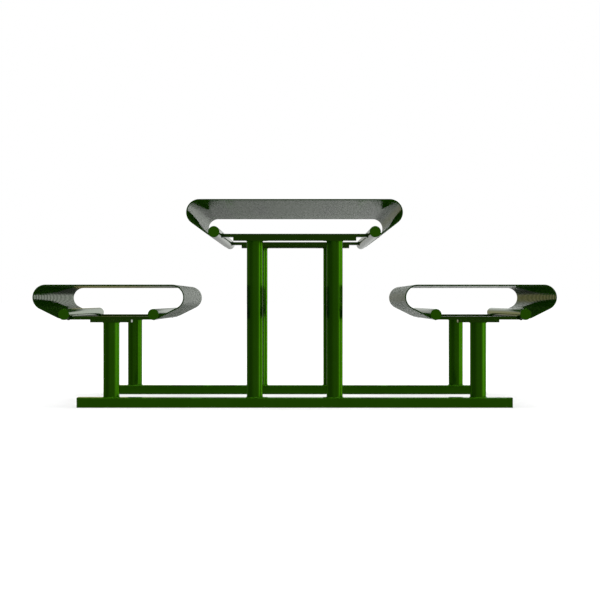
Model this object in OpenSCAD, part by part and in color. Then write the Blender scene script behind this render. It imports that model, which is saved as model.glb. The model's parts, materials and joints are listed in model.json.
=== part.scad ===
// Steel picnic table: one slatted top and two slatted benches on two leg frames.
// Every slat is a flat bar bent into an open channel. Its two rims are welded to round edge
// tubes, flat struts tie the edge tubes together, and countersunk screws hold each strut
// down on the plates that close the legs.
// X runs across the table, Y along it and Z up. The origin is on the ground, under the
// middle of the top.

/* [Overall] */
// Height of the table top above the ground
table_h = 750; // [620:5:900]
// Height of the benches above the ground
seat_h = 450; // [370:5:540]
// Length of the table top
table_len = 1800; // [1500:10:2200]
// Length of each bench
seat_len = 1400; // [1160:10:1700]
// Distance from the middle of the table to the middle of each bench
seat_reach = 673; // [560:1:810]

/* [Table top] */
// Width of the table top over its bends
table_w = 764; // [630:1:920]
// Slope of the table top's rims, below level
table_rim_angle = 36; // [20:0.5:45]
// Length of the straight rim, from its bend to the edge tube's middle
table_rim_run = 81.5; // [67:0.5:99]

/* [Benches] */
// Width of each bench over its bends
seat_w = 550; // [455:1:660]
// Slope of the benches' rims, below level
seat_rim_angle = 26.5; // [15:0.5:40]
// Length of the straight rim, from its bend to the edge tube's middle
seat_rim_run = 87; // [72:0.5:105]

/* [Slats] */
// Width of a slat's flat bar
slat_w = 25; // [20:1:30]
// Thickness of a slat's flat bar
slat_t = 5; // [4:0.5:8]
// Widest gap wished for between two slats
slat_gap = 25; // [20:1:30]
// Outer radius of a slat's bend
bend_r = 46.5; // [38:0.5:56]

/* [Edge tubes] */
// Diameter of the edge tubes
edge_d = 40; // [33:1:48]
// Wall of the edge tubes
edge_wall = 3; // [2:0.5:5]
// How far an edge tube lies inside the slats' outer face
edge_sunk = 1; // [0:0.5:2]

/* [Struts and plates] */
// Width of the struts, along the table
strut_w = 60; // [50:1:72]
// Thickness of the struts
strut_t = 12; // [10:1:16]
// Depth of a table strut's underside below the middle of its edge tubes
table_strut_drop = 10.5; // [9:0.5:12.5]
// Height of a bench strut's underside above the bottom of its edge tubes
seat_strut_lift = 0.5; // [0:0.5:4]
// Width of the plates on the legs, along the table
plate_w = 70; // [60:1:84]
// Thickness of the plates under the table top
table_plate_t = 13; // [11:1:16]
// Thickness of the plates under the benches
seat_plate_t = 10; // [8:1:14]
// How far the table plates reach past the middle of a leg
table_plate_reach = 78.5; // [65:0.5:95]
// How far the bench plates reach past the middle of a leg
seat_plate_reach = 75; // [62:0.5:90]

/* [Legs and base rails] */
// Diameter of the legs
leg_d = 59; // [49:1:71]
// Wall of the legs
leg_wall = 3; // [2:0.5:5]
// Distance from a table edge tube's middle to the middle of the nearer table leg
table_leg_inset = 138; // [115:1:166]
// Distance from a bench's end to the middle of the leg frame
frame_inset = 125; // [104:1:150]
// How far the base rails reach past the middle of the bench legs
rail_overhang = 124.5; // [104:0.5:150]
// Width of the base rails
rail_w = 70; // [60:1:84]
// Height of the base rails
rail_h = 37; // [31:1:44]
// Wall of the base rails
rail_wall = 3; // [2:0.5:5]
// Outer corner radius of the base rails
rail_corner_r = 2.5; // [2:0.5:4]
// Thickness of every end cap
cap_t = 3; // [2:0.5:5]

/* [Screws and anchor holes] */
// Shank diameter of the countersunk screws
screw_d = 10; // [8:1:12]
// Head diameter of the countersunk screws
screw_head_d = 20; // [16:1:24]
// Distance from a plate's end to the nearest screw
screw_edge = 20; // [16:1:24]
// How far a screw's tip stays below the top of its strut
screw_tip = 2; // [1:0.5:3]
// Width across the flats of a screw's hexagon socket
screw_key = 6; // [5:1:8]
// Depth of a screw's hexagon socket
screw_socket = 3.5; // [3:0.5:4.5]
// Diameter of the ground anchor holes in the base rails
anchor_d = 14; // [11:1:17]
// Distance from a base rail's end to its anchor hole
anchor_inset = 47.5; // [40:0.5:57]

/* [Hidden] */
$fn = 96;

// Clearances
weld_gap = 0.2;      // between a curved face and the bar that is cut to meet it
hole_clear = 0.5;    // around a screw's shank in its plate
thread_clear = 0.1;  // around a screw's shank in its tapped strut
head_clear = 0.2;    // around a screw's cone in its countersink
rim_lip = 0.01;      // each face of a bend over the straight rim, so that they meet in clean edges

// Screw heads: a thin rim, then a 90 degree cone
head_rim = 0.5;
head_cone = (screw_head_d - screw_d) / 2;

// How far a cut runs past the faces that it goes through
over = 1;

// Edge tubes: the middle of a tube, seen along the table and measured from the top of the
// slats. A bend's centre lies bend_r inside the edge; from there the rim runs down and inwards.
edge_r = edge_d / 2;
tube_depth = bend_r - edge_r - edge_sunk;
function tube_x(half_w, angle, run) =
    half_w - bend_r + tube_depth * sin(angle) - run * cos(angle);
function tube_z(angle, run) = -bend_r - tube_depth * cos(angle) - run * sin(angle);

table_tube_x = tube_x(table_w / 2, table_rim_angle, table_rim_run);
table_tube_z = table_h + tube_z(table_rim_angle, table_rim_run);
seat_tube_x = tube_x(seat_w / 2, seat_rim_angle, seat_rim_run);
seat_tube_z = seat_h + tube_z(seat_rim_angle, seat_rim_run);

// Heights of the struts' undersides, and of the plates' undersides where the legs end
table_strut_z = table_tube_z - table_strut_drop;
seat_strut_z = seat_tube_z - edge_r + seat_strut_lift;
table_plate_z = table_strut_z - table_plate_t;
seat_plate_z = seat_strut_z - seat_plate_t;

// Places of the leg frames, legs and rails
frame_y = seat_len / 2 - frame_inset;
table_leg_x = table_tube_x - table_leg_inset;
rail_len = 2 * (seat_reach + rail_overhang);
anchor_x = rail_len / 2 - anchor_inset;

// Colours
paint = [0.10, 0.26, 0.06];
cap_paint = [0.13, 0.31, 0.08];
zinc = [0.70, 0.71, 0.72];

// Half of a slat seen along the table: bend and rim at the right, with the top's height at 0.
// The bend is a ring, kept right of its middle and on the near side of the rim's first edge.
// The rim is cut off square where its inner face comes within weld_gap of the edge tube.
module slat_rim(half_w, angle, run) {
    far = 2 * bend_r;
    inner = bend_r - slat_t;
    rim_len = run - sqrt(pow(edge_r + weld_gap, 2) - pow(inner - tube_depth, 2));
    translate([half_w - bend_r, -bend_r]) {
        intersection() {
            difference() {
                circle(r = bend_r);
                circle(r = inner);
            }
            translate([0, -far]) square([far, 2 * far]);
            rotate(180 + angle) translate([-far, -far]) square([far, 2 * far]);
        }
        rotate(180 + angle) translate([0, inner + rim_lip])
            square([rim_len, slat_t - 2 * rim_lip]);
    }
}

// The whole slat seen along the table
module slat_section(half_w, angle, run) {
    flat = half_w - bend_r;
    translate([-flat, -slat_t]) square([2 * flat, slat_t]);
    for (side = [0, 1]) mirror([side, 0]) slat_rim(half_w, angle, run);
}

// A row of slats along the table, spread evenly so that the outer two end flush
module slat_row(len, half_w, angle, run) {
    count = ceil((len + slat_gap) / (slat_w + slat_gap));
    pitch = (len - slat_w) / (count - 1);
    color(paint) for (i = [0 : count - 1])
        translate([0, -len / 2 + i * pitch + slat_w, 0])
            rotate([90, 0, 0]) linear_extrude(height = slat_w) slat_section(half_w, angle, run);
}

// A hollow edge tube along the table, shorter by its two end caps
module edge_tube(len, x, z) {
    inner_len = len - 2 * cap_t;
    color(paint) translate([x, inner_len / 2, z]) rotate([90, 0, 0]) difference() {
        cylinder(r = edge_r, h = inner_len);
        translate([0, 0, -over]) cylinder(r = edge_r - edge_wall, h = inner_len + 2 * over);
    }
}

// The discs that close both ends of an edge tube
module tube_caps(len, x, z) {
    color(cap_paint) for (y = [-len / 2 + cap_t, len / 2])
        translate([x, y, z]) rotate([90, 0, 0]) cylinder(r = edge_r, h = cap_t);
}

// Where the screws go through a plate: two beside each leg
function screw_xs(legs, reach) =
    [for (x = legs, side = [-1, 1]) x + side * (reach - screw_edge)];

// A strut from edge tube to edge tube, with its tapped holes
module strut(mid, tube_half, drop, z, legs, reach) {
    color(paint) difference() {
        translate([mid - tube_half, -strut_w / 2, z]) cube([2 * tube_half, strut_w, strut_t]);
        for (side = [-1, 1]) translate([mid + side * tube_half, strut_w / 2 + over, z + drop])
            rotate([90, 0, 0]) cylinder(r = edge_r + weld_gap, h = strut_w + 2 * over);
        for (x = screw_xs(legs, reach)) translate([x, 0, z - over])
            cylinder(r = screw_d / 2 + thread_clear, h = strut_t + 2 * over);
    }
}

// A plate that closes the legs, with countersunk holes from below
module plate(legs, reach, z, thick) {
    x0 = min(legs) - reach;
    x1 = max(legs) + reach;
    sink_r = screw_head_d / 2 + head_clear;
    sink_h = head_cone + head_clear;
    color(paint) difference() {
        translate([x0, -plate_w / 2, z]) cube([x1 - x0, plate_w, thick]);
        for (x = screw_xs(legs, reach)) translate([x, 0, z]) {
            translate([0, 0, -over])
                cylinder(r = screw_d / 2 + hole_clear, h = thick + 2 * over);
            translate([0, 0, -over]) cylinder(r = sink_r, h = over + head_rim);
            translate([0, 0, head_rim]) cylinder(r1 = sink_r, r2 = sink_r - sink_h, h = sink_h);
        }
    }
}

// Countersunk screws, driven up through a plate into its strut
module screws(legs, reach, z, thick) {
    color(zinc) for (x = screw_xs(legs, reach)) translate([x, 0, z]) difference() {
        union() {
            cylinder(r = screw_head_d / 2, h = head_rim);
            translate([0, 0, head_rim])
                cylinder(r1 = screw_head_d / 2, r2 = screw_d / 2, h = head_cone);
            cylinder(r = screw_d / 2, h = thick + strut_t - screw_tip);
        }
        translate([0, 0, -over])
            cylinder(r = screw_key / sqrt(3), h = over + screw_socket, $fn = 6);
    }
}

// A leg tube, standing on its rail and ending under its plate
module leg(x, top) {
    color(paint) translate([x, 0, rail_h]) difference() {
        cylinder(r = leg_d / 2, h = top - rail_h);
        translate([0, 0, -over]) cylinder(r = leg_d / 2 - leg_wall, h = top - rail_h + 2 * over);
    }
}

// A rectangle with round corners, standing on the ground and seen along the rail
module round_section(w, h, r) {
    translate([-w / 2, r]) square([w, h - 2 * r]);
    translate([-w / 2 + r, 0]) square([w - 2 * r, h]);
    for (x = [-w / 2 + r, w / 2 - r], y = [r, h - r]) translate([x, y]) circle(r = r);
}

// A hollow base rail across the table, with a ground anchor hole near each end
module base_rail() {
    tube_len = rail_len - 2 * cap_t;
    color(paint) difference() {
        translate([-tube_len / 2, 0, 0]) rotate([90, 0, 90]) linear_extrude(height = tube_len)
            difference() {
                round_section(rail_w, rail_h, rail_corner_r);
                translate([0, rail_wall]) round_section(rail_w - 2 * rail_wall,
                    rail_h - 2 * rail_wall, rail_corner_r / 2);
            }
        for (x = [-anchor_x, anchor_x]) translate([x, 0, -over])
            cylinder(r = anchor_d / 2, h = rail_h + 2 * over);
    }
}

// The plates that close both ends of a base rail
module rail_caps() {
    color(cap_paint) for (x = [-rail_len / 2, rail_len / 2 - cap_t])
        translate([x, 0, 0]) rotate([90, 0, 90]) linear_extrude(height = cap_t)
            round_section(rail_w, rail_h, rail_corner_r);
}

// Both leg frames, and both benches, hold the same pieces
module at_front() { translate([0, -frame_y, 0]) children(); }
module at_rear() { translate([0, frame_y, 0]) children(); }
module at_both() {
    at_front() children();
    at_rear() children();
}

table_legs = [-table_leg_x, table_leg_x];

module table_slats() {
    translate([0, 0, table_h]) slat_row(table_len, table_w / 2, table_rim_angle, table_rim_run);
}
module seat_slats(side) {
    translate([side * seat_reach, 0, seat_h])
        slat_row(seat_len, seat_w / 2, seat_rim_angle, seat_rim_run);
}
module table_edge_tube(side) { edge_tube(table_len, side * table_tube_x, table_tube_z); }
module seat_edge_tube(side, rim) {
    edge_tube(seat_len, side * seat_reach + rim * seat_tube_x, seat_tube_z);
}
module table_tube_caps() {
    for (side = [-1, 1]) tube_caps(table_len, side * table_tube_x, table_tube_z);
}
module seat_tube_caps(side) {
    for (rim = [-1, 1])
        tube_caps(seat_len, side * seat_reach + rim * seat_tube_x, seat_tube_z);
}
module table_strut() {
    strut(0, table_tube_x, table_strut_drop, table_strut_z, table_legs, table_plate_reach);
}
module seat_strut(side) {
    strut(side * seat_reach, seat_tube_x, edge_r - seat_strut_lift, seat_strut_z,
        [side * seat_reach], seat_plate_reach);
}
module table_leg(side) { leg(side * table_leg_x, table_plate_z); }
module seat_leg(side) { leg(side * seat_reach, seat_plate_z); }
module table_plate() { plate(table_legs, table_plate_reach, table_plate_z, table_plate_t); }
module seat_plate(side) {
    plate([side * seat_reach], seat_plate_reach, seat_plate_z, seat_plate_t);
}
module table_screws() { screws(table_legs, table_plate_reach, table_plate_z, table_plate_t); }
module seat_screws() {
    screws([-seat_reach, seat_reach], seat_plate_reach, seat_plate_z, seat_plate_t);
}

table_slats();
table_edge_tube(-1);  // table_edge_tube_left
table_edge_tube(1);  // table_edge_tube_right
table_tube_caps();
at_front() table_strut();  // table_strut_front
at_rear() table_strut();  // table_strut_rear
seat_slats(-1);  // seat_slats_left
seat_slats(1);  // seat_slats_right
seat_edge_tube(-1, -1);  // seat_edge_tube_left_outer
seat_edge_tube(-1, 1);  // seat_edge_tube_left_inner
seat_edge_tube(1, -1);  // seat_edge_tube_right_inner
seat_edge_tube(1, 1);  // seat_edge_tube_right_outer
seat_tube_caps(-1);  // seat_tube_caps_left
seat_tube_caps(1);  // seat_tube_caps_right
at_front() seat_strut(-1);  // seat_strut_left_front
at_rear() seat_strut(-1);  // seat_strut_left_rear
at_front() seat_strut(1);  // seat_strut_right_front
at_rear() seat_strut(1);  // seat_strut_right_rear
at_front() base_rail();  // base_rail_front
at_rear() base_rail();  // base_rail_rear
at_front() rail_caps();  // rail_caps_front
at_rear() rail_caps();  // rail_caps_rear
at_front() table_leg(-1);  // table_leg_left_front
at_front() table_leg(1);  // table_leg_right_front
at_rear() table_leg(-1);  // table_leg_left_rear
at_rear() table_leg(1);  // table_leg_right_rear
at_front() seat_leg(-1);  // seat_leg_left_front
at_front() seat_leg(1);  // seat_leg_right_front
at_rear() seat_leg(-1);  // seat_leg_left_rear
at_rear() seat_leg(1);  // seat_leg_right_rear
at_front() table_plate();  // table_plate_front
at_rear() table_plate();  // table_plate_rear
at_front() seat_plate(-1);  // seat_plate_left_front
at_front() seat_plate(1);  // seat_plate_right_front
at_rear() seat_plate(-1);  // seat_plate_left_rear
at_rear() seat_plate(1);  // seat_plate_right_rear
at_both() table_screws();
at_both() seat_screws();
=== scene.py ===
# %% [markdown]
# # A steel picnic table
#
# The table is all steel: flat bars bent into open channels, welded to round edge tubes and
# carried by two frames of round legs on flat base rails. Everything wears the same thick,
# glossy, dark green powder coat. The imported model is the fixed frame. It says where each part
# is, and this script builds the finer shapes that a maker would see and gives them their finish.

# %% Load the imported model
import json
import math

import bpy
from mathutils import Matrix, Vector


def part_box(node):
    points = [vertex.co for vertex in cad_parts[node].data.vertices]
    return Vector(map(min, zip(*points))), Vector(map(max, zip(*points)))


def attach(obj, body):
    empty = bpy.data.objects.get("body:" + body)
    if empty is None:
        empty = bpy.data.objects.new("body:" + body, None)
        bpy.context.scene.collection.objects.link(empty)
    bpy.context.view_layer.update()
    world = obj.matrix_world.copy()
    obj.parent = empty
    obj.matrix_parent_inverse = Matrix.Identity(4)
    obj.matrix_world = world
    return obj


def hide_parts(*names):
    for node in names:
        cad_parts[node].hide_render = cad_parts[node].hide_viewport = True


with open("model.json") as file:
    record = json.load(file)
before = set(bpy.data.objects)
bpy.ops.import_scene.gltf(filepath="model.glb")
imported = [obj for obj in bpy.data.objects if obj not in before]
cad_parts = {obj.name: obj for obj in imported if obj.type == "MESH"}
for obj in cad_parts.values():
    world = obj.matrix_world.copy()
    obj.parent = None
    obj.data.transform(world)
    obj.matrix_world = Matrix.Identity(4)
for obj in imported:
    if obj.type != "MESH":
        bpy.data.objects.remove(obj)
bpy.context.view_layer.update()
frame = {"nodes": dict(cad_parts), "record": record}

nodes = frame["nodes"]
print("parts in the frame:", len(nodes))

# %% [markdown]
# ## Camera
#
# The table is seen from one end by someone who crouches: the camera is level, a little below
# the benches, and looks along the table. It stands far back behind a long lens, so the two leg
# frames nearly cover each other. Distances are measured from the middle of the table.

# %% Place the camera
CAMERA_X = 0.0193
CAMERA_HEIGHT = 0.3942
CAMERA_BACK = 8.59
LENS = 131.0
SENSOR = 36.0

camera_data = bpy.data.cameras.new("camera")
camera_data.lens = LENS
camera_data.sensor_width = SENSOR
camera = bpy.data.objects.new("camera", camera_data)
camera.location = (CAMERA_X, -CAMERA_BACK, CAMERA_HEIGHT)
camera.rotation_euler = (math.radians(90), 0, 0)
bpy.context.scene.collection.objects.link(camera)
bpy.context.scene.camera = camera
bpy.context.scene.view_settings.view_transform = "Standard"
print("camera", CAMERA_BACK, "m back, lens", LENS, "mm")

# %% [markdown]
# ## Helpers for node trees
#
# A finish and the light of the room are both trees of nodes. These helpers add one node each,
# and link or set whatever they are given, so that a tree reads like a sum.

# %% Add, link and mix
def feed(tree, socket, value):
    """Links a value that comes from another node into a socket, or else sets it there."""
    if isinstance(value, bpy.types.NodeSocket):
        tree.links.new(value, socket)
    else:
        socket.default_value = value

def add_node(tree, kind, **values):
    """A node in a tree, with its properties and its inputs set by name."""
    node = tree.nodes.new(kind)
    for name, value in values.items():
        socket = node.inputs.get(name.replace("_", " ").title())
        if socket is None:
            setattr(node, name, value)
        else:
            feed(tree, socket, value)
    return node

def object_place(tree):
    """The place on the object, as a vector."""
    return tree.nodes.new("ShaderNodeTexCoord").outputs["Object"]

def noise(tree, vector, scale, detail, roughness=0.5):
    """Noise between 0 and 1 over a vector."""
    return add_node(tree, "ShaderNodeTexNoise", vector=vector, scale=scale, detail=detail,
                    roughness=roughness).outputs["Fac"]

def ramp(tree, value, low, high, low_value=0.0, high_value=1.0):
    """Value mapped from low..high to low_value..high_value, softly and clamped."""
    return add_node(tree, "ShaderNodeMapRange", interpolation_type="SMOOTHSTEP", value=value,
                    from_min=low, from_max=high, to_min=low_value,
                    to_max=high_value).outputs["Result"]

def math_node(tree, operation, a, b):
    """One arithmetic step on two values."""
    node = add_node(tree, "ShaderNodeMath", operation=operation)
    feed(tree, node.inputs[0], a)
    feed(tree, node.inputs[1], b)
    return node.outputs["Value"]

def mix_colors(tree, factor, a, b):
    """Colour a where the factor is 0 and colour b where it is 1."""
    node = add_node(tree, "ShaderNodeMix", data_type="RGBA")
    feed(tree, node.inputs["Factor"], factor)
    feed(tree, node.inputs[6], a)
    feed(tree, node.inputs[7], b)
    return node.outputs[2]

# %% [markdown]
# ## Floor
#
# A plain pale floor runs on to the horizon. It glows a little, as a sheet of paper on a light
# table does, so it stays as pale as the background far away from the lamps. Round the table,
# where the lamps reach, it glows less and takes a soft shadow under the rails. It is left out
# of the paint's reflections, where the surround stands in for it.

# %% Lay the floor
FLOOR_SIZE = 400.0
NEAR_GLOW = 0.66         # glow within the lamps' reach
FAR_GLOW = 0.92          # and beyond it
GLOW_STARTS = 2.0        # metres from the middle where it starts to change
GLOW_ENDS = 7.0
FLOOR_GREY = (0.32, 0.32, 0.32, 1)
WHITE = (1, 1, 1, 1)

bpy.ops.mesh.primitive_plane_add(size=FLOOR_SIZE, location=(0, 0, 0))
floor = bpy.context.object
floor.name = "floor"
pale = bpy.data.materials.new("pale_floor")
pale.use_nodes = True
pale_tree = pale.node_tree
pale_shader = pale_tree.nodes["Principled BSDF"]
reach = add_node(pale_tree, "ShaderNodeVectorMath", operation="LENGTH",
                 vector=object_place(pale_tree))
glow = ramp(pale_tree, reach.outputs["Value"], GLOW_STARTS, GLOW_ENDS, NEAR_GLOW, FAR_GLOW)
for name, value in (("Base Color", FLOOR_GREY), ("Roughness", 0.9), ("Specular IOR Level", 0.0),
                    ("Emission Color", WHITE), ("Emission Strength", glow)):
    feed(pale_tree, pale_shader.inputs[name], value)
floor.data.materials.append(pale)
floor.visible_glossy = False
floor.visible_diffuse = False
print("floor laid,", FLOOR_SIZE, "m wide")

# %% [markdown]
# ## Surround
#
# Gloss paint is mostly a picture of what stands around it. Ahead of the camera the surround is
# a big pale screen, a little dimmer below the horizon, which the long grazing surfaces mirror.
# Behind the camera it is dimmer, so the paint that faces the camera stays dark. It falls off to
# the left and grows brighter to the right. Straight ahead, where the insides of the bends look,
# the screen runs from a brownish shade on the left to bright on the right, and its foot is dark.
# The camera itself sees plain white.

# %% Build the surround
AHEAD = 0.76           # brightness of the screen ahead of the camera
BEHIND = 0.36          # and of the room behind it
LOWER = 0.95           # share of that which is left below the horizon
LEFT = 0.52            # share of that which is left at the left
RIGHT = 2.2            # and how many times brighter it is at the right
AHEAD_LEFT = 0.62      # straight ahead: the share left at the screen's left edge
AHEAD_RIGHT = 1.45     # how many times brighter it is at its right edge
AHEAD_FOOT = 0.10      # and the share left at its foot
BROWN = (1.0, 0.90, 0.42, 1)

# A direction is a vector of length 1. These are the values of its X, Y or Z between which the
# brightness changes.
TURN_ROUND = (-0.5, 0.7)
HORIZON = (-0.02, 0.02)
LEFT_SIDE = (-0.9, -0.1)
RIGHT_SIDE = (0.6, 0.95)
STRAIGHT_AHEAD = (0.955, 0.985)
ACROSS_SCREEN = (-0.10, 0.10)
SCREEN_FOOT = (-0.085, -0.042)
BROWN_ENDS = (-0.09, -0.05)

world = bpy.data.worlds.new("studio")
bpy.context.scene.world = world
world.use_nodes = True
wt = world.node_tree
wt.nodes.clear()
direction = add_node(wt, "ShaderNodeSeparateXYZ",
                     vector=wt.nodes.new("ShaderNodeTexCoord").outputs["Generated"])
right, forward, up = direction.outputs

across = ramp(wt, right, *ACROSS_SCREEN, AHEAD_LEFT, AHEAD_RIGHT)
foot = ramp(wt, up, *SCREEN_FOOT, AHEAD_FOOT, 1.0)
brightness = ramp(wt, forward, *TURN_ROUND, BEHIND, AHEAD)
for share in (ramp(wt, up, *HORIZON, LOWER, 1.0),
              ramp(wt, right, *LEFT_SIDE, LEFT, 1.0),
              ramp(wt, right, *RIGHT_SIDE, 1.0, RIGHT),
              ramp(wt, forward, *STRAIGHT_AHEAD, 1.0, math_node(wt, "MULTIPLY", across, foot))):
    brightness = math_node(wt, "MULTIPLY", brightness, share)

straight = ramp(wt, forward, *STRAIGHT_AHEAD)
brownish = ramp(wt, right, *BROWN_ENDS, straight, 0.0)
print("surround: ahead", AHEAD, "behind", BEHIND)

# %% Show it to reflections only
room = add_node(wt, "ShaderNodeBackground", color=mix_colors(wt, brownish, WHITE, BROWN),
                strength=brightness)
paper = add_node(wt, "ShaderNodeBackground", color=WHITE)
seen = wt.nodes.new("ShaderNodeMixShader")
wt.links.new(wt.nodes.new("ShaderNodeLightPath").outputs["Is Camera Ray"], seen.inputs["Fac"])
wt.links.new(room.outputs[0], seen.inputs[1])
wt.links.new(paper.outputs[0], seen.inputs[2])
wt.links.new(seen.outputs[0], wt.nodes.new("ShaderNodeOutputWorld").inputs["Surface"])
print("the camera sees plain white")

# %% [markdown]
# ## Lamps
#
# One big soft box hangs over the table. Two tall boxes stand far to the right, one behind the
# other, and draw the bright upright lines on the right side of every leg.

# %% Hang the lamps
def soft_box(name, place, target, width, height, power):
    """A rectangular lamp at a place, turned to face the target."""
    data = bpy.data.lights.new(name, "AREA")
    data.shape = "RECTANGLE"
    data.size = width
    data.size_y = height
    data.energy = power
    lamp = bpy.data.objects.new(name, data)
    lamp.location = place
    lamp.rotation_euler = (Vector(target) - Vector(place)).to_track_quat("-Z", "Y").to_euler()
    bpy.context.scene.collection.objects.link(lamp)
    return lamp

soft_box("overhead", (0, 0, 6), (0, 0, 0), 6.0, 6.0, 700)
soft_box("right_front", (9.0, -2.7, 1.6), (0, 0, 0.5), 3.0, 4.0, 42)
soft_box("right_back", (8.0, 5.0, 1.6), (0, 0, 0.5), 1.0, 4.0, 40)

# %% [markdown]
# ## Powder coat
#
# Powder coat is plastic melted on to steel. It is smooth to the touch but not quite flat: it
# holds a fine orange peel. Its colour clouds very slightly where the powder lay thicker, and
# handling leaves fine scuffs and a film of dust on what faces up. Each of these is a node group
# with named sockets, built once and placed in every finish with its own values.

# %% Helper for node groups
def new_group(name, inputs, outputs):
    """An empty node group with these named sockets, and its two end nodes."""
    group = bpy.data.node_groups.new(name, "ShaderNodeTree")
    for socket_name, kind, value in inputs:
        socket = group.interface.new_socket(socket_name, in_out="INPUT", socket_type=kind)
        if value is not None:
            socket.default_value = value
    for socket_name, kind in outputs:
        group.interface.new_socket(socket_name, in_out="OUTPUT", socket_type=kind)
    return group, group.nodes.new("NodeGroupInput"), group.nodes.new("NodeGroupOutput")

# %% Orange peel
PEEL_SIZE = 0.0025       # from one hump to the next
SAG_SIZE = PEEL_SIZE / 0.15

peel, peel_in, peel_out = new_group(
    "orange_peel",
    [("Vector", "NodeSocketVector", None), ("Depth", "NodeSocketFloat", 1.0)],
    [("Height", "NodeSocketFloat")])
humps = noise(peel, peel_in.outputs["Vector"], 1 / PEEL_SIZE, 1.0)
sags = noise(peel, peel_in.outputs["Vector"], 1 / SAG_SIZE, 1.0)
peel_height = math_node(peel, "ADD", humps, math_node(peel, "MULTIPLY", sags, 2.0))
peel.links.new(math_node(peel, "MULTIPLY", peel_height, peel_in.outputs["Depth"]),
               peel_out.inputs["Height"])
print("orange peel every", PEEL_SIZE * 1000, "mm")

# %% Clouds in the colour
clouds, clouds_in, clouds_out = new_group(
    "coat_clouds",
    [("Vector", "NodeSocketVector", None), ("Color", "NodeSocketColor", (1, 1, 1, 1)),
     ("Thin Color", "NodeSocketColor", (1, 1, 1, 1)), ("Amount", "NodeSocketFloat", 0.5)],
    [("Color", "NodeSocketColor")])
broad = noise(clouds, clouds_in.outputs["Vector"], 7.0, 3.0)
fine = noise(clouds, clouds_in.outputs["Vector"], 160.0, 2.0)
cloudiness = math_node(clouds, "ADD", broad, math_node(clouds, "MULTIPLY", fine, 0.3))
cloud_mask = ramp(clouds, cloudiness, 0.45, 0.9, 0.0, clouds_in.outputs["Amount"])
clouds.links.new(
    mix_colors(clouds, cloud_mask, clouds_in.outputs["Color"], clouds_in.outputs["Thin Color"]),
    clouds_out.inputs["Color"])
print("clouds mix two greens")

# %% [markdown]
# Wear is a pair of masks. Scuffs are short fine lines: a noise that is stretched along the
# table and cut off high, broken up by a second one. Dust lies where a face looks up, and
# thins out in patches. The masks lighten the colour a little and make the gloss duller.

# %% Scuffs and dust
wear, wear_in, wear_out = new_group(
    "scuffs_and_dust",
    [("Vector", "NodeSocketVector", None), ("Scuffs", "NodeSocketFloat", 0.4),
     ("Dust", "NodeSocketFloat", 0.2)],
    [("Scuffs", "NodeSocketFloat"), ("Dust", "NodeSocketFloat")])
long_way = add_node(wear, "ShaderNodeMapping", vector=wear_in.outputs["Vector"],
                    scale=(1.0, 0.12, 1.0), rotation=(0.3, 0.2, 0.9))
lines = ramp(wear, noise(wear, long_way.outputs["Vector"], 420.0, 3.0, 0.7), 0.62, 0.72)
patches = ramp(wear, noise(wear, wear_in.outputs["Vector"], 14.0, 3.0), 0.52, 0.68)
scuff_mask = math_node(wear, "MULTIPLY", lines, patches)
wear.links.new(math_node(wear, "MULTIPLY", scuff_mask, wear_in.outputs["Scuffs"]),
               wear_out.inputs["Scuffs"])
facing = add_node(wear, "ShaderNodeSeparateXYZ",
                  vector=wear.nodes.new("ShaderNodeNewGeometry").outputs["Normal"])
upward = ramp(wear, facing.outputs["Z"], 0.55, 1.0)
film = ramp(wear, noise(wear, wear_in.outputs["Vector"], 9.0, 5.0, 0.65), 0.3, 0.75, 0.2, 1.0)
dust_mask = math_node(wear, "MULTIPLY", upward, film)
wear.links.new(math_node(wear, "MULTIPLY", dust_mask, wear_in.outputs["Dust"]),
               wear_out.inputs["Dust"])
print("wear group sockets:", [s.name for s in wear.interface.items_tree])

# %% [markdown]
# ## Finishes
#
# The coat mirrors its surroundings in green where it is looked at squarely and in white where
# it is looked at along the surface, as a metal does, so it is a metallic shader over a little
# plain green. The edge tint is dark: it holds the gloss back until the view is nearly level
# with the surface. A surface that is only seen in another surface's reflection shows its plain
# green, which keeps the insides of the bends as deep and quiet as thick paint looks there.

# %% Make the green finishes
SHINE = 0.86           # share of the mirror-like coat over plain green
EDGE_TINT = (0.52, 0.56, 0.48, 1)
COAT_ROUGHNESS = 0.11
WORN_SHINE = 0.2       # what wear and dust leave of that
WORN_ROUGHNESS = 0.6
PEEL_STRENGTH = 0.25
PEEL_HEIGHT = 0.00001
DUST_COLOR = (0.30, 0.29, 0.24, 1)

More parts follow.
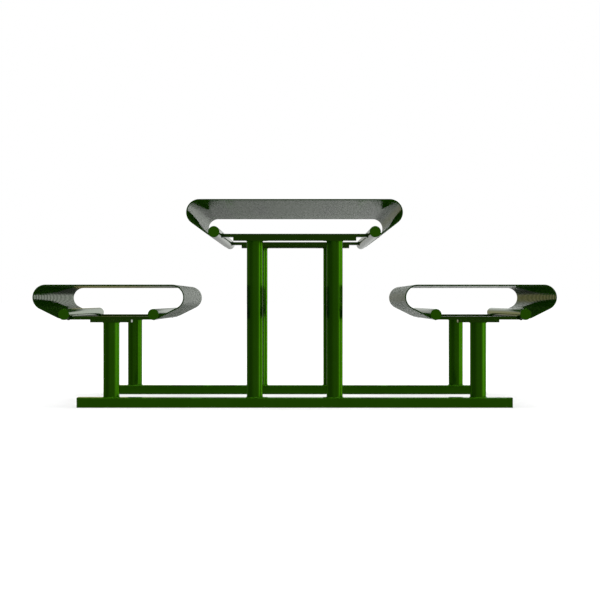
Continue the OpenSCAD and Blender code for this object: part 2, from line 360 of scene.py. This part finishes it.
def green_finish(finish_name, green, thin_green, scuffs, dust, peel_depth):
    """A glossy green powder coat, with its clouds, wear and orange peel."""
    material = bpy.data.materials.new(finish_name)
    material.use_nodes = True
    tree = material.node_tree
    shader = tree.nodes["Principled BSDF"]
    place = object_place(tree)

    worn = add_node(tree, "ShaderNodeGroup", node_tree=wear)
    cloudy = add_node(tree, "ShaderNodeGroup", node_tree=clouds)
    peeled = add_node(tree, "ShaderNodeGroup", node_tree=peel)
    for group_node, values in ((worn, {"Scuffs": scuffs, "Dust": dust}),
                               (cloudy, {"Color": green, "Thin Color": thin_green}),
                               (peeled, {"Depth": peel_depth})):
        feed(tree, group_node.inputs["Vector"], place)
        for name, value in values.items():
            feed(tree, group_node.inputs[name], value)

    marks = math_node(tree, "ADD", worn.outputs["Scuffs"], worn.outputs["Dust"])
    tree.links.new(mix_colors(tree, marks, cloudy.outputs["Color"], DUST_COLOR),
                   shader.inputs["Base Color"])
    tree.links.new(ramp(tree, marks, 0.0, 1.0, COAT_ROUGHNESS, WORN_ROUGHNESS),
                   shader.inputs["Roughness"])
    first_sight = tree.nodes.new("ShaderNodeLightPath").outputs["Is Camera Ray"]
    shine = ramp(tree, marks, 0.0, 1.0, SHINE, WORN_SHINE)
    tree.links.new(math_node(tree, "MULTIPLY", shine, first_sight), shader.inputs["Metallic"])
    shader.inputs["Specular IOR Level"].default_value = 0.0
    shader.inputs["Specular Tint"].default_value = EDGE_TINT

    bump = add_node(tree, "ShaderNodeBump", height=peeled.outputs["Height"],
                    strength=PEEL_STRENGTH, distance=PEEL_HEIGHT)
    tree.links.new(bump.outputs["Normal"], shader.inputs["Normal"])
    return material

DEEP_GREEN = (0.029, 0.128, 0.0015, 1)
THIN_GREEN = (0.036, 0.148, 0.004, 1)
# A lighter copy of the frame's green: painted light on the end discs and the rails' end plates.
# The welds also cloud towards it.
CAP_PAINTED_LIGHT_GREEN = (0.034, 0.146, 0.002, 1)
# The slats' two greens are darker copies of the one coat: painted shade over the slats.
SLAT_PAINTED_SHADE_GREEN = (0.015, 0.070, 0.0008, 1)
SLAT_PAINTED_SHADE_THIN = (0.019, 0.082, 0.002, 1)
# The plates' and struts' two greens are darker copies of the one coat: painted shade on the parts
# under the top and benches.
PLATE_PAINTED_SHADE_GREEN = (0.024, 0.072, 0.005, 1)
PLATE_PAINTED_SHADE_THIN = (0.030, 0.086, 0.008, 1)

frame_green = green_finish("frame_green", DEEP_GREEN, THIN_GREEN, 0.25, 0.12, 0.5)
# The slats' finish is the same coat, darkened as painted shade.
slat_painted_shade_green = green_finish("slat_painted_shade_green", SLAT_PAINTED_SHADE_GREEN, SLAT_PAINTED_SHADE_THIN, 0.35, 0.10, 0.15)
# The struts' and plates' finish is the same coat, darkened as painted shade.
plate_painted_shade_green = green_finish("plate_painted_shade_green", PLATE_PAINTED_SHADE_GREEN, PLATE_PAINTED_SHADE_THIN, 0.25, 0.10, 0.4)
# The end parts' finish is the same coat, lightened as painted light.
cap_painted_light_green = green_finish("cap_painted_light_green", CAP_PAINTED_LIGHT_GREEN, THIN_GREEN, 0.25, 0.10, 1.2)
weld_green = green_finish("weld_green", DEEP_GREEN, CAP_PAINTED_LIGHT_GREEN, 0.15, 0.10, 1.6)
print("finishes:", [m.name for m in (frame_green, slat_painted_shade_green, plate_painted_shade_green, cap_painted_light_green, weld_green)])

# %% [markdown]
# ## Screw steel
#
# The countersunk screws are plain zinc-plated steel. Turning leaves rings round each screw's
# own axis, which a pattern on the whole object can't follow, so the finish has a fine grain and
# cloudy zinc spangle instead, with darker patches where the plating has aged.

# %% Make the screw finish
FRESH_ZINC = (0.62, 0.63, 0.64, 1)
AGED_ZINC = (0.36, 0.35, 0.33, 1)
GRAIN_HEIGHT = 0.00005

zinc = bpy.data.materials.new("screw_zinc")
zinc.use_nodes = True
zinc_tree = zinc.node_tree
zinc_shader = zinc_tree.nodes["Principled BSDF"]
zinc_place = object_place(zinc_tree)
aged = ramp(zinc_tree, noise(zinc_tree, zinc_place, 240.0, 4.0), 0.4, 0.75)
zinc_tree.links.new(mix_colors(zinc_tree, aged, FRESH_ZINC, AGED_ZINC),
                    zinc_shader.inputs["Base Color"])
zinc_tree.links.new(ramp(zinc_tree, aged, 0.0, 1.0, 0.28, 0.55), zinc_shader.inputs["Roughness"])
zinc_tree.links.new(ramp(zinc_tree, aged, 0.0, 1.0, 1.0, 0.8), zinc_shader.inputs["Metallic"])
grain = noise(zinc_tree, zinc_place, 1800.0, 2.0)
zinc_bump = add_node(zinc_tree, "ShaderNodeBump", height=grain, strength=0.2,
                     distance=GRAIN_HEIGHT)
zinc_tree.links.new(zinc_bump.outputs["Normal"], zinc_shader.inputs["Normal"])
print("finish:", zinc.name)

# %% [markdown]
# ## Helpers for modelling
#
# Blender's operators act on what is selected, as they do under a modeller's hands. So each step
# starts by deselecting everything, and then picks faces or edges by their place or normal. A
# piece is finished when its place is in its mesh and it stands for its part of the frame.

# %% Select and edit
MERGE = 0.00001        # corners nearer than this are one corner
NEARLY = 0.0001        # how far off a face or an edge may lie and still be picked
FACING = 0.9           # a face looks along an axis if its normal reaches this far along it

def only(piece):
    """Selects this piece and nothing else, in object mode."""
    bpy.ops.object.select_all(action="DESELECT")
    piece.select_set(True)
    bpy.context.view_layer.objects.active = piece

def edit(piece, faces=None, edges=None):
    """Opens edit mode with only the chosen faces, or edges, selected."""
    only(piece)
    bpy.ops.object.mode_set(mode="EDIT")
    bpy.ops.mesh.select_mode(type="FACE" if faces else "EDGE")
    bpy.ops.mesh.select_all(action="DESELECT")
    bpy.ops.object.mode_set(mode="OBJECT")
    mesh = piece.data
    if faces:
        for polygon in mesh.polygons:
            polygon.select = faces(polygon.center, polygon.normal)
    if edges:
        for edge in mesh.edges:
            a, b = (mesh.vertices[i].co for i in edge.vertices)
            edge.select = edges(a, b)
    bpy.ops.object.mode_set(mode="EDIT")

def close_edit(outwards=True):
    """Leaves edit mode. The doubles are merged, and the normals point outwards again."""
    bpy.ops.mesh.select_all(action="SELECT")
    bpy.ops.mesh.remove_doubles(threshold=MERGE)
    if outwards:
        bpy.ops.mesh.normals_make_consistent(inside=False)
    bpy.ops.object.mode_set(mode="OBJECT")

def settle(piece):
    """Moves a piece's place, turn and scale into its mesh."""
    only(piece)
    bpy.ops.object.transform_apply(location=True, rotation=True, scale=True)

def use_modifier(piece, kind, **settings):
    """Adds a modifier with these settings and applies it."""
    only(piece)
    modifier = piece.modifiers.new(kind.lower(), kind)
    for key, value in settings.items():
        setattr(modifier, key, value)
    bpy.ops.object.modifier_apply(modifier=modifier.name)

# %% Copy, join and finish
def copy_of(piece, shift):
    """A copy with its own mesh, moved by shift."""
    twin = piece.copy()
    twin.data = piece.data.copy()
    twin.data.transform(Matrix.Translation(shift))
    bpy.context.scene.collection.objects.link(twin)
    return twin

def join(pieces, name):
    """Several pieces joined into one."""
    only(pieces[0])
    for piece in pieces:
        piece.select_set(True)
    bpy.ops.object.join()
    joined = bpy.context.object
    joined.name = name
    return joined

def finish_piece(piece, finish, stands_for=(), smooth_angle=35):
    """Smooths a piece, gives it its finish and puts it in the place of its CAD parts."""
    only(piece)
    bpy.ops.object.shade_smooth_by_angle(angle=math.radians(smooth_angle))
    use_modifier(piece, "WEIGHTED_NORMAL", keep_sharp=True, weight=100)
    piece.data.materials.clear()
    piece.data.materials.append(finish)
    if stands_for:
        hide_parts(*stands_for)
    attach(piece, "root")
    print(piece.name, len(piece.data.polygons), "faces")

# %% [markdown]
# ## Slats
#
# A slat is one flat bar, bent down at both ends into an open channel whose straight rims run in
# to the edge tubes. One half is enough: a flat box is drawn round the bend by Spin, its end is
# extruded straight down into the tube, and a Mirror modifier makes the other half. A fine bevel
# takes off the sharp edges that paint would leave bare. The row is then copied from the one
# slat, with each copy's place read from the frame.

# %% Sizes of a slat
SLAT_THICKNESS = 0.005
BEND_RADIUS = 0.0465          # outside the bend
EDGE_SUNK = 0.001             # an edge tube lies this far inside the slat's outer face
EDGE_ROUNDING = 0.0005
BEND_STEPS = 20

def middle_of(node):
    """The middle of a node's box, and half its size."""
    low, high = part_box(node)
    return (low + high) / 2, (high - low) / 2

def slat_stations(node):
    """Where each slat of a row starts and ends along the table."""
    stations = sorted({round(v.co.y, 4) for v in nodes[node].data.vertices})
    return list(zip(stations[::2], stations[1::2]))

# The top and the two benches: a row of slats, its end discs, its struts, and the edge tubes on
# its left and right.
SURFACES = (
    ("table_slats", "table_tube_caps", "table_strut_",
     ("table_edge_tube_left", "table_edge_tube_right")),
    ("seat_slats_left", "seat_tube_caps_left", "seat_strut_left_",
     ("seat_edge_tube_left_outer", "seat_edge_tube_left_inner")),
    ("seat_slats_right", "seat_tube_caps_right", "seat_strut_right_",
     ("seat_edge_tube_right_inner", "seat_edge_tube_right_outer")))

for row, _, _, _ in SURFACES:
    print(row, len(slat_stations(row)), "slats")

# %% Model one slat
def rim_direction(bend, tube, tube_radius):
    """The rim's slope and length, from the bend's middle to the tube's, seen along the table."""
    reach = Vector((tube.x - bend.x, tube.z - bend.z))
    depth = BEND_RADIUS - tube_radius - EDGE_SUNK
    run = math.sqrt(reach.length_squared - depth ** 2)
    slope = math.atan2(reach.y, reach.x) + math.atan2(run, depth) + math.pi / 2
    return slope, run

def model_slat(row, right_tube):
    """One slat across its own middle, with its top at the row's height."""
    middle, half = middle_of(row)
    tube, tube_half = middle_of(right_tube)
    tube_radius = tube_half.x
    start, end = slat_stations(row)[0]
    width = end - start
    top = middle.z + half.z
    flat = half.x - BEND_RADIUS
    bend = Vector((flat, 0, top - BEND_RADIUS))
    slope, run = rim_direction(bend, Vector((tube.x - middle.x, 0, tube.z)), tube_radius)
    skin = tube_radius + EDGE_SUNK - SLAT_THICKNESS
    rim = run - math.sqrt(tube_radius ** 2 - skin ** 2)

    bpy.ops.mesh.primitive_cube_add(
        size=1, location=(flat / 2, 0, top - SLAT_THICKNESS / 2),
        scale=(flat, width, SLAT_THICKNESS))
    slat = bpy.context.object
    settle(slat)
    edit(slat, faces=lambda c, n: n.x > FACING)
    bpy.ops.mesh.spin(steps=BEND_STEPS, angle=math.pi - slope, center=bend, axis=(0, -1, 0))
    bpy.ops.mesh.extrude_region_move(TRANSFORM_OT_translate={
        "value": (-rim * math.cos(slope), 0, -rim * math.sin(slope))})
    bpy.ops.object.mode_set(mode="OBJECT")
    edit(slat, faces=lambda c, n: n.x < -FACING and c.x < NEARLY)
    bpy.ops.mesh.delete(type="FACE")
    close_edit(outwards=False)
    use_modifier(slat, "MIRROR", use_axis=(True, False, False), use_mirror_merge=True)
    edit(slat, faces=lambda c, n: True)
    close_edit()
    use_modifier(slat, "BEVEL", width=EDGE_ROUNDING, segments=2, limit_method="ANGLE",
                 angle_limit=math.radians(50))
    slat.data.transform(Matrix.Translation((middle.x, 0, 0)))
    print("rim slopes", round(math.degrees(slope), 1), "degrees,", round(rim * 1000, 1), "mm long")
    return slat, slope

def lay_row(slat, row):
    """Copies one slat to each place in its row, and joins the row."""
    copies = [copy_of(slat, (0, (start + end) / 2, 0)) for start, end in slat_stations(row)]
    bpy.data.objects.remove(slat)
    return join(copies, row + "_bars")

# %% Lay the three rows of slats
slopes = {}
for row, _, _, (_, right_tube) in SURFACES:
    slat, slopes[row] = model_slat(row, right_tube)
    finish_piece(lay_row(slat, row), slat_painted_shade_green, [row])

# %% [markdown]
# ## Round tubes
#
# The edge tubes and the legs are welded steel tube. A cylinder gives the outside. Both ends are
# inset by the wall, and bridging the two inner faces opens the bore.

# %% Model the tubes and legs
TUBE_WALL = 0.003
TUBE_SIDES = 72

def round_tube(node, axis):
    """A hollow tube in the place of a node, along Y or Z."""
    middle, half = middle_of(node)
    turn = (math.radians(90), 0, 0) if axis.y else (0, 0, 0)
    bpy.ops.mesh.primitive_cylinder_add(
        vertices=TUBE_SIDES, radius=half.x, depth=2 * abs(half.dot(axis)), location=middle,
        rotation=turn)
    tube = bpy.context.object
    tube.name = node + "_pipe"
    settle(tube)
    edit(tube, faces=lambda c, n: abs(n.dot(axis)) > FACING)
    bpy.ops.mesh.inset(thickness=TUBE_WALL, use_individual=True)
    bpy.ops.mesh.bridge_edge_loops()
    close_edit()
    return tube

for node in sorted(nodes):
    if "edge_tube" in node:
        finish_piece(round_tube(node, Vector((0, 1, 0))), frame_green, [node])
    if "_leg_" in node:
        finish_piece(round_tube(node, Vector((0, 0, 1))), frame_green, [node])

# %% [markdown]
# ## End discs
#
# Each edge tube is closed by a flat disc, welded on and ground round. The disc is a short
# cylinder whose outer edge is bevelled, with a shallow groove where it meets the tube.

# %% Model the end discs
DISC_ROUNDING = 0.0006
DISC_GROOVE = 0.0004

def end_disc(node, tube, side):
    """One disc on the end of a tube. The side is -1 at the front and 1 at the rear."""
    middle, half = middle_of(tube)
    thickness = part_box(node)[1].y - middle.y - half.y
    bpy.ops.mesh.primitive_cylinder_add(
        vertices=TUBE_SIDES, radius=half.x, depth=thickness,
        location=(middle.x, middle.y + side * (half.y + thickness / 2), middle.z),
        rotation=(math.radians(90), 0, 0))
    disc = bpy.context.object
    settle(disc)
    rim = (half.y + thickness) - NEARLY
    edit(disc, edges=lambda a, b: min(a.y * side, b.y * side) > rim)
    bpy.ops.mesh.bevel(offset=DISC_ROUNDING, segments=4, affect="EDGES")
    bpy.ops.object.mode_set(mode="OBJECT")
    foot = half.y + NEARLY
    edit(disc, edges=lambda a, b: max(a.y * side, b.y * side) < foot)
    bpy.ops.mesh.bevel(offset=DISC_GROOVE, segments=1, affect="EDGES")
    close_edit()
    return disc

for _, node, _, tubes in SURFACES:
    discs = [end_disc(node, tube, side) for tube in tubes for side in (-1, 1)]
    finish_piece(join(discs, node + "_discs"), cap_painted_light_green, [node])

# %% [markdown]
# ## Base rails
#
# A base rail is flat rectangular tube with round corners. It is drawn as a box: its four long
# edges are bevelled round, its ends are inset and bridged into a bore, and a Boolean drills the
# two ground anchor holes. A plate with the same corners closes each end.

# %% Model the base rails
RAIL_CORNER = 0.0025
anchors = next(m for m in frame["record"]["mounts"] if m["name"] == "ground_anchors")["dims"]
ANCHOR_RADIUS = anchors["hole_r_mm"] / 1000
ANCHOR_X = anchors["spacing_x_mm"] / 2000

def rounded_bar(name, low, high):
    """A box along X with four round long edges."""
    bpy.ops.mesh.primitive_cube_add(size=1, location=(low + high) / 2, scale=high - low)
    bar = bpy.context.object
    bar.name = name
    settle(bar)
    edit(bar, edges=lambda a, b: abs(a.x - b.x) > (high.x - low.x) / 2)
    bpy.ops.mesh.bevel(offset=RAIL_CORNER, segments=6, affect="EDGES")
    close_edit()
    return bar

def drill(piece, place, radius, depth):
    """Drills an upright round hole through a piece."""
    bpy.ops.mesh.primitive_cylinder_add(vertices=48, radius=radius, depth=depth, location=place)
    bit = bpy.context.object
    use_modifier(piece, "BOOLEAN", operation="DIFFERENCE", solver="EXACT", object=bit)
    bpy.data.objects.remove(bit)

def base_rail(node):
    """A hollow rail with its anchor holes."""
    low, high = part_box(node)
    rail = rounded_bar(node + "_bar", low, high)
    edit(rail, faces=lambda c, n: abs(n.x) > FACING)
    bpy.ops.mesh.inset(thickness=TUBE_WALL, use_individual=True)
    bpy.ops.mesh.bridge_edge_loops()
    close_edit()
    for side in (-1, 1):
        place = (side * ANCHOR_X, (low.y + high.y) / 2, (low.z + high.z) / 2)
        drill(rail, place, ANCHOR_RADIUS, 2 * (high.z - low.z))
    return rail

for end in ("front", "rear"):
    node = "base_rail_" + end
    finish_piece(base_rail(node), frame_green, [node])

# %% Close the rails' ends
CAP_ROUNDING = 0.0006

def rail_cap(node, rail, side):
    """The plate on one end of a rail."""
    low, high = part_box(node)
    rail_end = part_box(rail)[1].x
    low.x, high.x = sorted((side * rail_end, side * high.x))
    cap = rounded_bar("cap", low, high)
    use_modifier(cap, "BEVEL", width=CAP_ROUNDING, segments=2, limit_method="ANGLE",
                 angle_limit=math.radians(60))
    return cap

for end in ("front", "rear"):
    node = "rail_caps_" + end
    plates = [rail_cap(node, "base_rail_" + end, side) for side in (-1, 1)]
    finish_piece(join(plates, node + "_plates"), cap_painted_light_green, [node])

# %% [markdown]
# ## Struts, plates and screws
#
# These are cut and drilled bars whose shape in the frame is already right, holes and all. Paint
# and steel are never knife-sharp, so each one is copied, its loose triangles are merged into
# whole faces, and a Bevel modifier rounds every edge that is sharper than the bores' facets.

# %% Soften the cut parts
PLATE_ROUNDING = 0.0004
SCREW_ROUNDING = 0.0003

def softened(node, rounding):
    """A copy of a CAD node with clean faces and rounded edges."""
    piece = copy_of(nodes[node], (0, 0, 0))
    piece.name = node + "_soft"
    piece.parent = None
    edit(piece, faces=lambda c, n: True)
    bpy.ops.mesh.remove_doubles(threshold=MERGE)
    bpy.ops.mesh.dissolve_limited(angle_limit=math.radians(0.5))
    close_edit()
    use_modifier(piece, "BEVEL", width=rounding, segments=2, limit_method="ANGLE",
                 angle_limit=math.radians(40))
    return piece

for node in sorted(nodes):
    if "_strut_" in node or "_plate_" in node:
        finish_piece(softened(node, PLATE_ROUNDING), plate_painted_shade_green, [node])
    if "screws" in node:
        finish_piece(softened(node, SCREW_ROUNDING), zinc, [node])

# %% [markdown]
# ## Welds
#
# The frame is welded together, and thick paint doesn't hide the beads. A bead along a bar is
# an eight-sided rod whose ends are inset and drawn out, so it dies away like a real one. Each
# slat has one where its rim meets the edge tube, in the groove that the square end leaves, and
# each strut has one above and one below at both ends. The legs have a ring at the foot and one
# under the plate: a torus whose every other ring is swollen, as the welder's steps leave it.

# %% Beads along the slats' rims
BEAD = 0.0026                 # radius of a bead along a rim
BEAD_BACK = 0.0096            # its place, back along the rim from above the tube's middle
BEAD_SUNK = 0.0002            # and how far it stays below the slat's outer face
BEAD_SHORT = 0.002            # how much shorter than the slat's width it is
TAPER = 0.45                  # share of its radius that its ends lose as they are drawn out

def straight_bead(x, y, z, length, radius):
    """A weld bead along Y with drawn-out ends."""
    bpy.ops.mesh.primitive_cylinder_add(
        vertices=8, radius=radius, depth=length - radius, location=(x, y, z),
        rotation=(math.radians(90), math.radians(22.5), 0))
    bead = bpy.context.object
    settle(bead)
    edit(bead, faces=lambda c, n: abs(n.y) > FACING)
    bpy.ops.mesh.inset(thickness=radius * TAPER, depth=radius / 2, use_individual=True)
    close_edit()
    return bead

def rim_beads(row, tube, side):
    """The beads between one side of a row of slats and its edge tube."""
    middle, half = middle_of(tube)
    slope = slopes[row]
    out = half.x + EDGE_SUNK - BEAD - BEAD_SUNK
    x = middle.x + side * (BEAD_BACK * math.cos(slope) + out * math.sin(slope))
    z = middle.z + BEAD_BACK * math.sin(slope) - out * math.cos(slope)
    stations = slat_stations(row)
    start, end = stations[0]
    bead = straight_bead(x, 0, z, end - start - BEAD_SHORT, BEAD)
    beads = [copy_of(bead, (0, (start + end) / 2, 0)) for start, end in stations]
    bpy.data.objects.remove(bead)
    return beads

for row, _, _, (left, right) in SURFACES:
    beads = rim_beads(row, left, -1) + rim_beads(row, right, 1)
    finish_piece(join(beads, row + "_welds"), weld_green, smooth_angle=60)

# %% Beads at the struts' ends
STRUT_BEAD = 0.0022           # its radius
STRUT_BEAD_OUT = 0.0006       # its middle's place, out from the edge tube's face
STRUT_BEAD_LIFT = 0.0004      # and away from the strut's face
STRUT_BEAD_SHORT = 0.004      # how much shorter than the strut's width it is

def strut_beads(strut, tube, side):
    """The beads above and below one end of a strut, against its edge tube."""
    low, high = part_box(strut)
    middle, half = middle_of(tube)
    beads = []
    for level, away in ((high.z, 1), (low.z, -1)):
        drop = level - middle.z
        x = middle.x - side * (math.sqrt(half.x ** 2 - drop ** 2) + STRUT_BEAD_OUT)
        beads.append(straight_bead(x, (low.y + high.y) / 2, level + away * STRUT_BEAD_LIFT,
                                   high.y - low.y - STRUT_BEAD_SHORT, STRUT_BEAD))
    return beads

for end in ("front", "rear"):
    beads = []
    for _, _, strut, (left, right) in SURFACES:
        beads += strut_beads(strut + end, left, -1) + strut_beads(strut + end, right, 1)
    finish_piece(join(beads, "strut_welds_" + end), weld_green, smooth_angle=60)

# %% Rings at both ends of the legs
RING = 0.0024                 # radius of the bead
RING_OUT = RING * 0.2         # its middle's place, out from the leg's face
RING_STEPS = 80
RIPPLE = 0.00022              # how much every other step is swollen

def ring_bead(x, y, z, leg_radius):
    """A rippled ring of weld round a leg."""
    bpy.ops.mesh.primitive_torus_add(
        major_segments=RING_STEPS, minor_segments=10, major_radius=leg_radius + RING_OUT,
        minor_radius=RING, location=(x, y, z))
    ring = bpy.context.object
    settle(ring)

    def swollen(a, b):
        turns = [math.atan2(p.y - y, p.x - x) * RING_STEPS / math.tau for p in (a, b)]
        return abs(turns[0] - turns[1]) < 0.2 and round(turns[0]) % 2 == 0

    edit(ring, edges=swollen)
    bpy.ops.transform.shrink_fatten(value=-RIPPLE)
    close_edit()
    return ring

for node in sorted(nodes):
    if "_leg_" in node:
        low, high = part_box(node)
        middle, half = middle_of(node)
        rings = [ring_bead(middle.x, middle.y, z, half.x) for z in (low.z, high.z)]
        finish_piece(join(rings, node + "_welds"), weld_green, smooth_angle=60)

# %% [markdown]
# ## Finish
#
# The parts of the frame that no finished piece stands for, which still show as they came, are
# listed.

# %% List what is left
left_over = [n for n, o in nodes.items() if not o.hide_render]
print("parts still shown as they came:", left_over)
